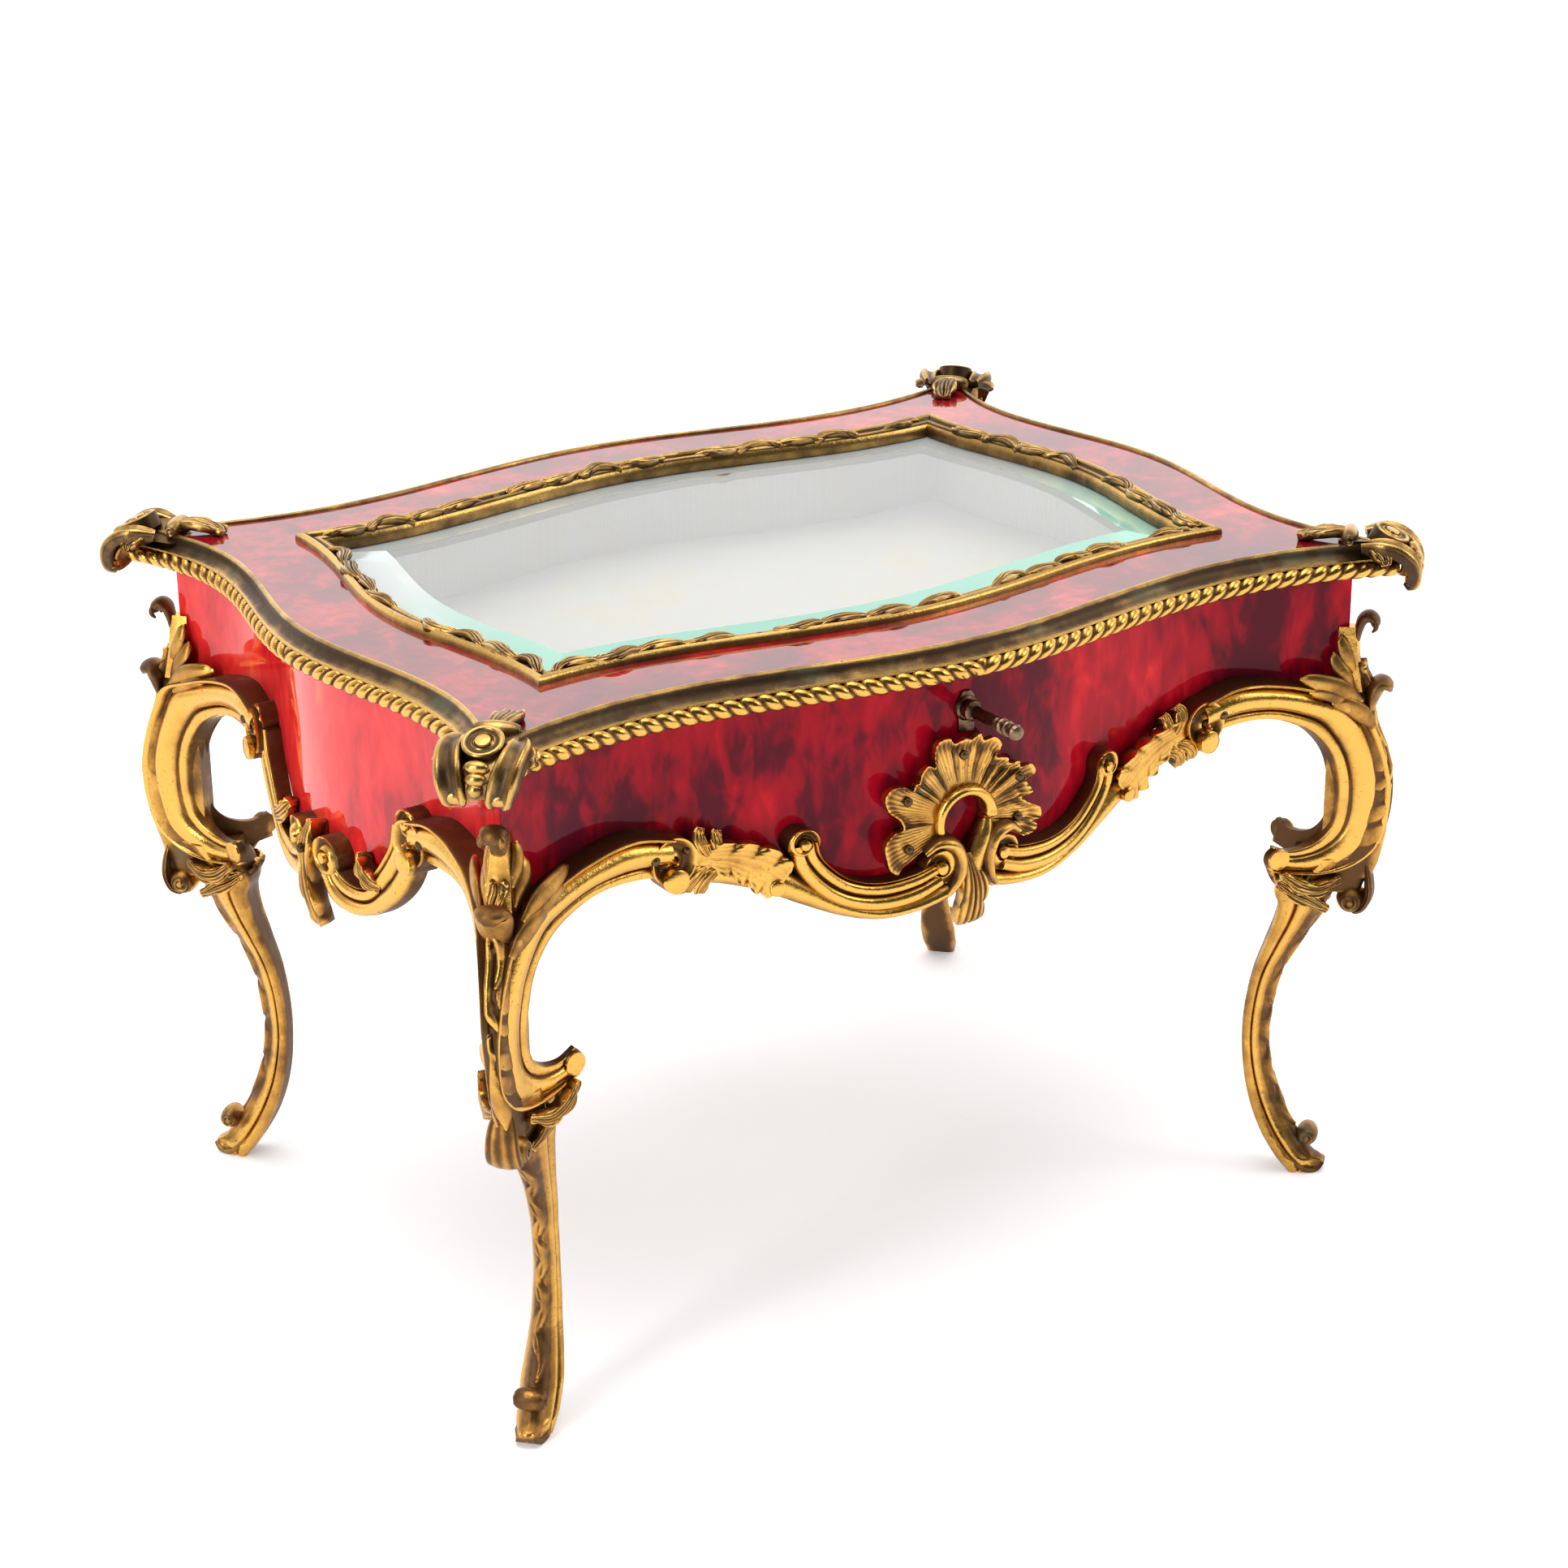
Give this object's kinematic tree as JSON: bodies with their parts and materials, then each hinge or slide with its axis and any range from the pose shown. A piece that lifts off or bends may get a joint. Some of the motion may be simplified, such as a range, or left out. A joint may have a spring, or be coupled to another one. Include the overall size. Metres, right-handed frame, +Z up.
{
  "type": "jewellery display case",
  "caption": "Table-shaped jewellery case: shallow red tortoiseshell body on gilt bronze cabriole legs, with a hinged lid holding bevelled glass and a key lock.",
  "frame": {"origin": "on the floor, under the middle of the part's overall box, key included", "axes": "+X to the right along the front, -Y out of the front with its key, +Z up"},
  "size_m": [0.286, 0.2252, 0.1932],
  "materials": {
    "gilt_bronze": "cast, gilded and worn, with brown patina in the hollows",
    "tortoiseshell": "polished red veneer with dark clouds",
    "carcass_wood": "plain planed wood",
    "silk_lining": "pale silk",
    "bevelled_glass": "polished, with a wide bevel",
    "lock_steel": "darkened steel",
    "hinge_brass": "drawn brass",
    "pin_bronze": "darkened round heads"
  },
  "bodies": {
    "case": {"apron_back_left": "gilt_bronze", "apron_back_right": "gilt_bronze", "apron_front_left": "gilt_bronze", "apron_front_right": "gilt_bronze", "apron_left": "gilt_bronze", "apron_right": "gilt_bronze", "base_board": "carcass_wood", "cartouche_back": "gilt_bronze", "cartouche_front": "gilt_bronze", "case_screws": "hinge_brass", "chute_back_left": "gilt_bronze", "chute_back_right": "gilt_bronze", "chute_front_left": "gilt_bronze", "chute_front_right": "gilt_bronze", "hinge_case_leaves": "hinge_brass", "hinge_pins": "hinge_brass", "keyhole_collar": "gilt_bronze", "leg_back_left": "gilt_bronze", "leg_back_right": "gilt_bronze", "leg_front_left": "gilt_bronze", "leg_front_right": "gilt_bronze", "lining_pad": "silk_lining", "lock_case": "lock_steel", "mount_pins": "pin_bronze", "veneer_back": "tortoiseshell", "veneer_front": "tortoiseshell", "veneer_left": "tortoiseshell", "veneer_right": "tortoiseshell", "wall_back": "carcass_wood", "wall_front": "carcass_wood", "wall_left": "carcass_wood", "wall_linings": "silk_lining", "wall_right": "carcass_wood"},
    "lid": {"glass_frame": "gilt_bronze", "hinge_lid_leaves": "hinge_brass", "lid_glass": "bevelled_glass", "lid_moulding_back": "gilt_bronze", "lid_moulding_front": "gilt_bronze", "lid_moulding_left": "gilt_bronze", "lid_moulding_right": "gilt_bronze", "lid_mount_back_left": "gilt_bronze", "lid_mount_back_right": "gilt_bronze", "lid_mount_front_left": "gilt_bronze", "lid_mount_front_right": "gilt_bronze", "lid_pins": "pin_bronze", "lid_rail_back": "carcass_wood", "lid_rail_front": "carcass_wood", "lid_rail_left": "carcass_wood", "lid_rail_right": "carcass_wood", "lid_screws": "hinge_brass", "lid_veneer_back": "tortoiseshell", "lid_veneer_front": "tortoiseshell", "lid_veneer_left": "tortoiseshell", "lid_veneer_right": "tortoiseshell", "lock_strike": "lock_steel"},
    "key": {"key": "lock_steel"},
    "lock_bolt": {"lock_bolt": "lock_steel"}
  },
  "joints": [
    {"name": "lid_hinge", "type": "hinge", "parent": "case", "child": "lid", "pos_m": [0, 0.10647, 0.1791], "axis": [-1, 0, 0], "range_deg": [0, 95]},
    {"name": "key_turn", "type": "hinge", "parent": "case", "child": "key", "pos_m": [0, -0.09014, 0.1696], "axis": [0, -1, 0], "range_deg": [0, 90]},
    {"name": "bolt_slide", "type": "slide", "parent": "case", "child": "lock_bolt", "axis": [0, 0, 1], "range_m": [0, 0.004]}
  ],
  "couplings": [
    {"joint": "key_turn", "follows": "bolt_slide", "rad_per_m": 392.7}
  ]
}
